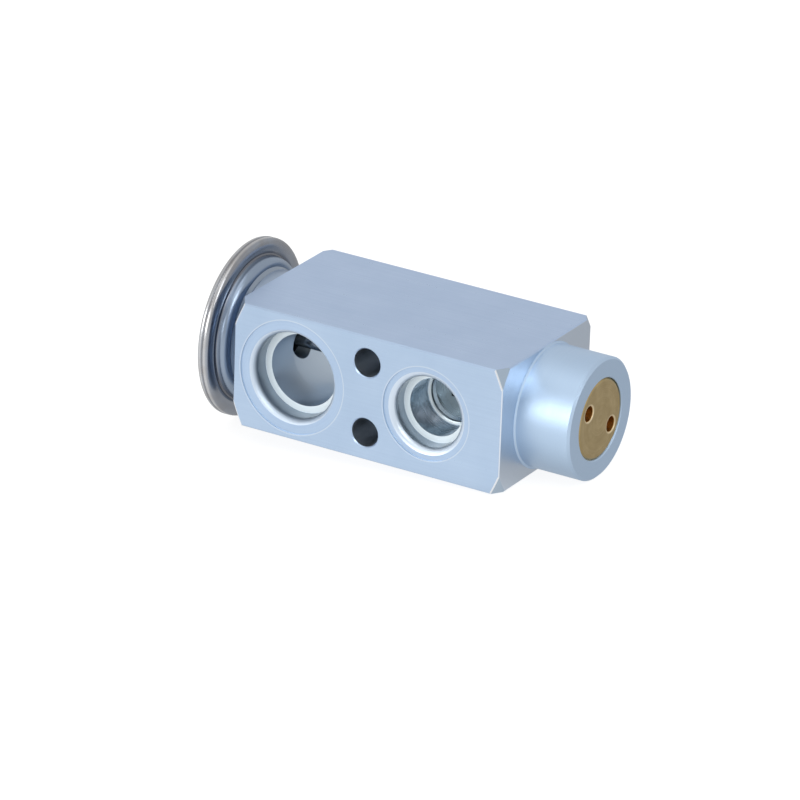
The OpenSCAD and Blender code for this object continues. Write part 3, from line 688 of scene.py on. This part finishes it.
def boss_thread():
    """Thread in the boss for the adjuster, as a thin sleeve on the bore's wall."""
    first_x, last_x = THREAD_BORE_X + 0.1, BOSS_END_X - 0.25
    crest = THREAD_BORE_R - ADJUSTER_THREAD_D
    outline = [(x, crest) for x in run(first_x, last_x, ADJUSTER_PITCH / 10)]
    outline += [(last_x, THREAD_BORE_R), (first_x, THREAD_BORE_R)]
    bm = turned(outline, closed=True)
    for vert in bm.verts:
        radius = polar(vert)[0]
        if radius > THREAD_BORE_R - 0.01:
            continue
        ridge = 1 - groove_depth(vert, ADJUSTER_PITCH, extra=0.25)
        rise = ADJUSTER_THREAD_D * ridge * run_out(vert, ADJUSTER_PITCH, first_x, last_x)
        spread(vert, (THREAD_BORE_R - 0.02 - rise * 0.96) / radius)
    finished("boss_thread", bm, "body_aluminium", "valve")


# The head
def head_points(points):
    """Points of (height above the collar, radius) as (x, radius)."""
    return [(COLLAR_X - height, radius) for height, radius in points]


def oval(middle_h, middle_r, rise, reach, angles):
    """Points (height, radius) of an oval; 0 degrees points to the block and 90 away from the axis."""
    return [(middle_h - rise * math.cos(math.radians(a)), middle_r + reach * math.sin(math.radians(a)))
            for a in angles]


def lower_shell():
    """Pressed lower shell with its drum, rolled rim flange and screwed neck."""
    foot_h = DRUM_FOOT_R - SEAT_FLAT_R
    shoulder_h = FLANGE_H - 1.5 * DRUM_FILLET
    shoulder = oval(shoulder_h, DRUM_FOOT_R, shoulder_h - foot_h, ROLL_FOOT_R - DRUM_FOOT_R,
                    range(0, 91, 9))
    roll = oval(FLANGE_H + ROLL_SIDE_H, ROLL_MIDDLE_R, ROLL_SIDE_H + ROLL_RISE,
                RIM_R - ROLL_MIDDLE_R, range(-50, 91, 10))
    outline = [(-NECK_L, NECK_BORE_R), (-NECK_L, NECK_R - NECK_BEVEL)]
    outline += [(h, NECK_R) for h in run(-NECK_L + NECK_BEVEL, -0.02, 0.125)]
    outline += [(0, NECK_R - 0.05), (0, SEAT_FLAT_R), (foot_h * 0.55, SEAT_FLAT_R + 0.5)]
    outline += shoulder
    outline += [(FLANGE_H - 0.42, ROLL_FOOT_R + 0.03), (FLANGE_H - 0.12, ROLL_FOOT_R + 0.2),
                (FLANGE_H + 0.02, ROLL_FOOT_R + 0.5)]
    outline += roll
    outline += [(LOWER_TOP - SEAM_BEVEL, RIM_R), (LOWER_TOP, RIM_R - SEAM_BEVEL),
                (LOWER_TOP, DRUM_R - 0.4), (FLANGE_H + 0.75, ROLL_FOOT_R - 0.3),
                (FLANGE_H + 0.3, ROLL_FOOT_R - SHELL_T), (shoulder_h + 0.25, ROLL_FOOT_R - SHELL_T),
                (foot_h + 0.8, DRUM_FOOT_R - 0.5), (SHELL_T, SEAT_FLAT_R - 0.25),
                (SHELL_T, NECK_BORE_R)]
    bm = turned(head_points(outline), closed=True)
    cut_thread(bm, NECK_R, NECK_THREAD_D, NECK_PITCH, COLLAR_X + 0.1, COLLAR_X + NECK_L - 0.4)
    finished("head_shell_lower", bm, "head_steel", "valve", ["head_lower_shell"])


def upper_shell():
    """Pressed cover with a rim flange, a soft dome and the filling hole."""
    edge, rise = UPPER_BASE + FLANGE_T, UPPER_BASE + DOME_H
    dome_r = DRUM_R - DRUM_FILLET
    middle_r = (dome_r + DOME_TOP_R) / 2
    hole_r = PLUG_R + 0.03
    outline = [(UPPER_BASE, RIM_R - SEAM_BEVEL), (UPPER_BASE + SEAM_BEVEL, RIM_R)]
    outline += oval(edge - RIM_ROUND, RIM_R - RIM_ROUND, RIM_ROUND, RIM_ROUND, range(90, 181, 15))
    outline += [(edge, DRUM_R + 0.5), (edge + 0.06, DRUM_R), (edge + 0.33, dome_r),
                (edge + 0.9, dome_r - 1.3), (rise + 0.55, middle_r), (rise + 0.82, middle_r - 1.6),
                (rise + 0.95, DOME_TOP_R + 0.6), (rise + SHELL_T, DOME_TOP_R - 0.4),
                (rise + SHELL_T, PLUG_R + 0.25), (rise + SHELL_T - 0.2, hole_r),
                (rise, hole_r), (rise, DOME_TOP_R - 0.25), (rise - 0.1, DOME_TOP_R + 0.5),
                (rise - 0.4, middle_r - 0.33), (edge - 0.33, dome_r - 0.7),
                (UPPER_BASE, dome_r - 0.25)]
    bm = turned(head_points(outline), closed=True)
    finished("head_shell_upper", bm, "head_steel", "valve", ["head_upper_shell"])


def rim_weld():
    """Rippled bead that closes the seam between the two shells."""
    seam_h, bead_r, middle_r = (LOWER_TOP + UPPER_BASE) / 2, 0.19, RIM_R - 0.3
    ripples, waves = 90, 7
    bead = oval(seam_h, middle_r, bead_r, bead_r, range(0, 360, 30))
    bm = turned(head_points(bead), closed=True, steps=720)
    for vert in bm.verts:
        radius, theta = polar(vert)
        ripple = abs(math.sin(theta * ripples)) * 0.03 + 0.02 * math.sin(theta * waves)
        out = max(0.0, (radius - middle_r + 0.05) / 0.24)
        spread(vert, 1 + ripple * out / radius)
    finished("rim_weld", bm, "head_steel", "valve", sharp=50)


def plug_weld():
    """Ring of weld that holds the charge plug to the dome."""
    top = UPPER_BASE + DOME_H + SHELL_T
    ripples = 16
    outline = head_points([(top - 0.02, PLUG_HEAD_R + 0.35), (top + 0.12, PLUG_HEAD_R + 0.28),
                           (top + 0.24, PLUG_HEAD_R + 0.12), (top + 0.3, PLUG_HEAD_R - 0.04),
                           (top - 0.02, PLUG_HEAD_R - 0.04)])
    bm = turned(outline, closed=True, steps=144)
    for vert in bm.verts:
        if vert.co.x < COLLAR_X - top - 0.05:
            vert.co.x -= 0.03 * abs(math.sin(polar(vert)[1] * ripples))
    finished("plug_weld", bm, "head_steel", "valve", sharp=50)


# The adjuster
def adjuster_plug():
    """Brass screw plug with thread, O-ring groove, spring seat and two spanner holes."""
    start = ADJUSTER_FACE_X - ADJUSTER_L
    thread_x, thread_end_x = ADJUSTER_FACE_X - THREAD_L, ADJUSTER_FACE_X - ADJUSTER_BEVEL
    seat_x, seat_r = start + SPRING_SEAT_D, SPRING_R + SPRING_WIRE_R + 0.4
    groove_x, groove_end_x = start + O_LAND_W, start + O_LAND_W + O_GROOVE_W
    bevel, groove_bevel, thread_bevel = 0.25, 0.15, 0.5
    outline = [(seat_x, 0), (seat_x, seat_r - bevel), (seat_x - bevel, seat_r), (start + 0.3, seat_r),
               (start, seat_r + 0.3), (start, ADJUSTER_NECK_R - bevel),
               (start + bevel, ADJUSTER_NECK_R), (groove_x, ADJUSTER_NECK_R),
               (groove_x, ADJUSTER_GROOVE_R + groove_bevel),
               (groove_x + groove_bevel, ADJUSTER_GROOVE_R),
               (groove_end_x - groove_bevel, ADJUSTER_GROOVE_R),
               (groove_end_x, ADJUSTER_GROOVE_R + groove_bevel), (groove_end_x, ADJUSTER_NECK_R),
               (thread_x, ADJUSTER_NECK_R), (thread_x, ADJUSTER_R - thread_bevel)]
    outline += [(x, ADJUSTER_R) for x in run(thread_x + thread_bevel, thread_end_x, 0.1)]
    outline += [(ADJUSTER_FACE_X - 0.05, ADJUSTER_R - ADJUSTER_BEVEL + 0.03),
                (ADJUSTER_FACE_X, ADJUSTER_R - ADJUSTER_BEVEL - 0.05),
                (ADJUSTER_FACE_X, SPANNER_PITCH_R), (ADJUSTER_FACE_X, 0)]
    bm = turned(outline, closed=False)
    cut_thread(bm, ADJUSTER_R, ADJUSTER_THREAD_D, ADJUSTER_PITCH, thread_x + thread_bevel, thread_end_x)
    piece = finished("adjuster_plug", bm, "adjuster_brass", "adjuster_screw", ["adjuster"])
    drill_spanner_holes(piece)


def spanner_drill():
    """Two pointed cutters for the countersunk holes, on opposite sides of the axis."""
    mouth_r = SPANNER_R + SPANNER_SINK
    outline = [(ADJUSTER_FACE_X - SPANNER_D - SPANNER_R / 2, 0),
               (ADJUSTER_FACE_X - SPANNER_D, SPANNER_R), (ADJUSTER_FACE_X - SPANNER_SINK, SPANNER_R),
               (ADJUSTER_FACE_X + 0.001, mouth_r), (ADJUSTER_FACE_X + 1, mouth_r),
               (ADJUSTER_FACE_X + 1, 0)]
    turn = math.radians(SPANNER_TURN)
    offset = Vector((0, SPANNER_PITCH_R * math.cos(turn), SPANNER_PITCH_R * math.sin(turn)))
    bm = turned(outline, closed=False, steps=48)
    bmesh.ops.translate(bm, verts=bm.verts, vec=offset)
    second = bmesh.ops.duplicate(bm, geom=bm.verts[:] + bm.edges[:] + bm.faces[:])["geom"]
    second_verts = [item for item in second if isinstance(item, bmesh.types.BMVert)]
    bmesh.ops.translate(bm, verts=second_verts, vec=-2 * offset)
    return placed("spanner_drill", plain_mesh("spanner_drill", bm))


def drill_spanner_holes(piece):
    """Cuts two countersunk blind holes for a pin spanner."""
    drill = spanner_drill()
    cut = piece.modifiers.new("spanner_holes", "BOOLEAN")
    cut.operation, cut.object, cut.solver = "DIFFERENCE", drill, "EXACT"
    depsgraph = bpy.context.evaluated_depsgraph_get()
    drilled = bpy.data.meshes.new_from_object(piece.evaluated_get(depsgraph))
    piece.modifiers.clear()
    drilled.name = piece.name
    piece.data = drilled
    smooth(drilled)
    bpy.data.objects.remove(drill)


# The control spring
def coil_place(turn):
    """Distance along the spring after a number of turns; its end turns are closed."""
    open_turns = SPRING_TURNS - 2 * SPRING_CLOSED_TURNS
    pitch = (SPRING_L - 2 * SPRING_CLOSED_TURNS * SPRING_CLOSED_PITCH) / open_turns
    if turn < SPRING_CLOSED_TURNS:
        return turn * SPRING_CLOSED_PITCH
    if turn > SPRING_TURNS - SPRING_CLOSED_TURNS:
        return SPRING_L - (SPRING_TURNS - turn) * SPRING_CLOSED_PITCH
    return SPRING_CLOSED_TURNS * SPRING_CLOSED_PITCH + (turn - SPRING_CLOSED_TURNS) * pitch


def coil(first, last, steps=40):
    """Wire of the spring between two turns, with its ends filled."""
    start_x = SPRING_START_X + SPRING_WIRE_R + coil_place(first)
    bm = bmesh.new()
    ring = bmesh.ops.create_circle(bm, radius=SPRING_WIRE_R, segments=16, cap_ends=False)["verts"]
    bmesh.ops.rotate(bm, verts=ring, matrix=Matrix.Rotation(math.pi / 2, 3, "X"))
    bmesh.ops.translate(bm, verts=ring, vec=(start_x, 0, SPRING_R))
    bmesh.ops.rotate(bm, verts=ring, matrix=Matrix.Rotation(first * TAU, 3, "X"))
    front = list({edge for vert in ring for edge in vert.link_edges})
    bmesh.ops.holes_fill(bm, edges=front)
    for i in range(round((last - first) * steps)):
        turn = first + i / steps
        shift = coil_place(turn + 1 / steps) - coil_place(turn)
        spun = bmesh.ops.spin(bm, geom=front, cent=(0, 0, 0), axis=(1, 0, 0), angle=TAU / steps,
                              dvec=(shift, 0, 0), steps=1, use_duplicate=False)
        front = [item for item in spun["geom_last"] if isinstance(item, bmesh.types.BMEdge)]
    bmesh.ops.holes_fill(bm, edges=front)
    return bm


def control_spring():
    """Closed and ground coil spring, made in two halves that stay where they are built."""
    middle = SPRING_TURNS / 2
    middle_x = SPRING_START_X + SPRING_WIRE_R + coil_place(middle)
    end_x = SPRING_START_X + SPRING_L + 2 * SPRING_WIRE_R
    halves = (("spring_low", (0, middle), ("valve_stem", "valve"), (SPRING_START_X, middle_x)),
              ("spring_high", (middle, SPRING_TURNS), ("valve", "adjuster_seal"), (middle_x, end_x)))
    for name, turns, (low_body, high_body), (start, end) in halves:
        piece = finished(name, coil(*turns), "spring_steel", None, ["control_spring"])
        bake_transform(piece)


# The studio
FLOOR_GAP = 0.02


def soft_range(tree, value, low, high, to_low, to_high):
    """Ramp with a soft start and end, as a node in a tree."""
    node = tree.nodes.new("ShaderNodeMapRange")
    node.interpolation_type = "SMOOTHSTEP"
    for key, level in (("From Min", low), ("From Max", high), ("To Min", to_low), ("To Max", to_high)):
        node.inputs[key].default_value = level
    tree.links.new(value, node.inputs["Value"])
    return node.outputs[0]


def matt_paint(tree, grey):
    """Even matt grey, as a node in a tree."""
    node = tree.nodes.new("ShaderNodeBsdfDiffuse")
    node.inputs["Color"].default_value = (grey, grey, grey, 1)
    return node.outputs[0]


def chosen(tree, mask, other, picked):
    """One shader where the mask is 0 and the other where it is 1, as a node in a tree."""
    node = tree.nodes.new("ShaderNodeMixShader")
    for value, socket in zip((mask, other, picked), node.inputs):
        tree.links.new(value, socket)
    return node.outputs[0]


def floor_paint():
    """Pale paint that looks white to the camera; where metal mirrors it, painted light and shade make
    it brighter in front of the valve and dimmer under and behind it.
    """
    paint = bpy.data.materials.new("floor_paint")
    paint.use_nodes = True
    tree = paint.node_tree
    tree.nodes.clear()
    glow = tree.nodes.new("ShaderNodeEmission")
    glow.inputs["Strength"].default_value = 0.87
    seen = tree.nodes.new("ShaderNodeAddShader")
    tree.links.new(matt_paint(tree, 0.2), seen.inputs[0])
    tree.links.new(glow.outputs[0], seen.inputs[1])

    # Painted light and shade in what the metal mirrors: brighter in front of the valve, dimmer under
    # and behind it
    split = tree.nodes.new("ShaderNodeSeparateXYZ")
    tree.links.new(tree.nodes.new("ShaderNodeTexCoord").outputs["Object"], split.inputs[0])
    mirrored_light_and_shade = tree.nodes.new("ShaderNodeEmission")
    tree.links.new(soft_range(tree, split.outputs["Y"], -0.03, -0.003, 0.92, 0.55),
                   mirrored_light_and_shade.inputs["Strength"])

    path = tree.nodes.new("ShaderNodeLightPath").outputs
    surface = chosen(tree, path["Is Glossy Ray"], matt_paint(tree, 0.78), mirrored_light_and_shade.outputs[0])
    surface = chosen(tree, path["Is Camera Ray"], surface, seen.outputs[0])
    tree.links.new(surface, tree.nodes.new("ShaderNodeOutputMaterial").inputs[0])
    return paint


def studio_floor():
    """Floor that touches the rim and the boss, as under the lying valve."""
    rim = Vector((COLLAR_X - LOWER_TOP, 0, -RIM_R - FLOOR_GAP)) * MM
    boss = Vector((BOSS_END_X - 0.5, 0, -BOSS_R - FLOOR_GAP)) * MM
    slope = math.atan2(boss.z - rim.z, boss.x - rim.x)
    bm = bmesh.new()
    bmesh.ops.create_grid(bm, x_segments=2, y_segments=2, size=1.5)
    bmesh.ops.rotate(bm, verts=bm.verts, matrix=Matrix.Rotation(-slope, 3, "Y"))
    bmesh.ops.translate(bm, verts=bm.verts, vec=rim - Vector((0, 0, FLOOR_GAP * MM)))
    mesh = bpy.data.meshes.new("studio_floor")
    bm.to_mesh(mesh)
    bm.free()
    floor = placed("studio_floor", mesh)
    floor.data.materials.append(floor_paint())


def room_light():
    """White room: even light from above, brighter towards the front window."""
    world = bpy.data.worlds.new("white_room")
    bpy.context.scene.world = world
    world.use_nodes = True
    tree = world.node_tree
    room = tree.nodes["Background"]
    room.inputs["Color"].default_value = (1, 1, 1, 1)
    window = tree.nodes.new("ShaderNodeVectorMath")
    window.operation = "DOT_PRODUCT"
    window.inputs[1].default_value = Vector((-0.46, -0.85, 0.2)).normalized()
    tree.links.new(tree.nodes.new("ShaderNodeTexCoord").outputs["Generated"], window.inputs[0])
    shine = soft_range(tree, window.outputs["Value"], 0.80, 0.96, 0.68, 0.98)

    # Pure white for the camera, and more light on matt surfaces than in mirrors
    path = tree.nodes.new("ShaderNodeLightPath").outputs
    level = tree.nodes.new("ShaderNodeMix")
    level.data_type = "FLOAT"
    level.inputs[3].default_value = 1.0
    tree.links.new(path["Is Camera Ray"], level.inputs[0])
    tree.links.new(shine, level.inputs[2])
    soft = tree.nodes.new("ShaderNodeMath")
    soft.operation = "MULTIPLY_ADD"
    soft.inputs[1].default_value = 0.35
    tree.links.new(path["Is Diffuse Ray"], soft.inputs[0])
    tree.links.new(level.outputs[0], soft.inputs[2])
    tree.links.new(soft.outputs[0], room.inputs["Strength"])


def soft_lamp(name, place, size, power):
    """Rectangular softbox aimed at the valve: place and size in metres, power in watts."""
    data = bpy.data.lights.new(name, "AREA")
    data.shape = "RECTANGLE"
    data.size, data.size_y = size
    data.energy = power
    lamp = placed(name, data)
    aim = (-Vector(place)).to_track_quat("-Z", "Y").to_matrix().to_4x4()
    lamp.matrix_world = Matrix.Translation(place) @ aim


lower_shell()
upper_shell()
rim_weld()
plug_weld()
adjuster_plug()
control_spring()
boss_thread()
studio_floor()
room_light()
soft_lamp("front_softbox", place=(-0.66, -1.2, 0.36), size=(1.1, 0.5), power=3.9)
soft_lamp("top_softbox", place=(-0.1, -0.3, 1.3), size=(0.9, 0.9), power=1.6)
soft_lamp("side_softbox", place=(0.66, -0.50, 0.86), size=(0.6, 0.6), power=3.1)

bpy.context.scene.view_settings.view_transform = "Standard"
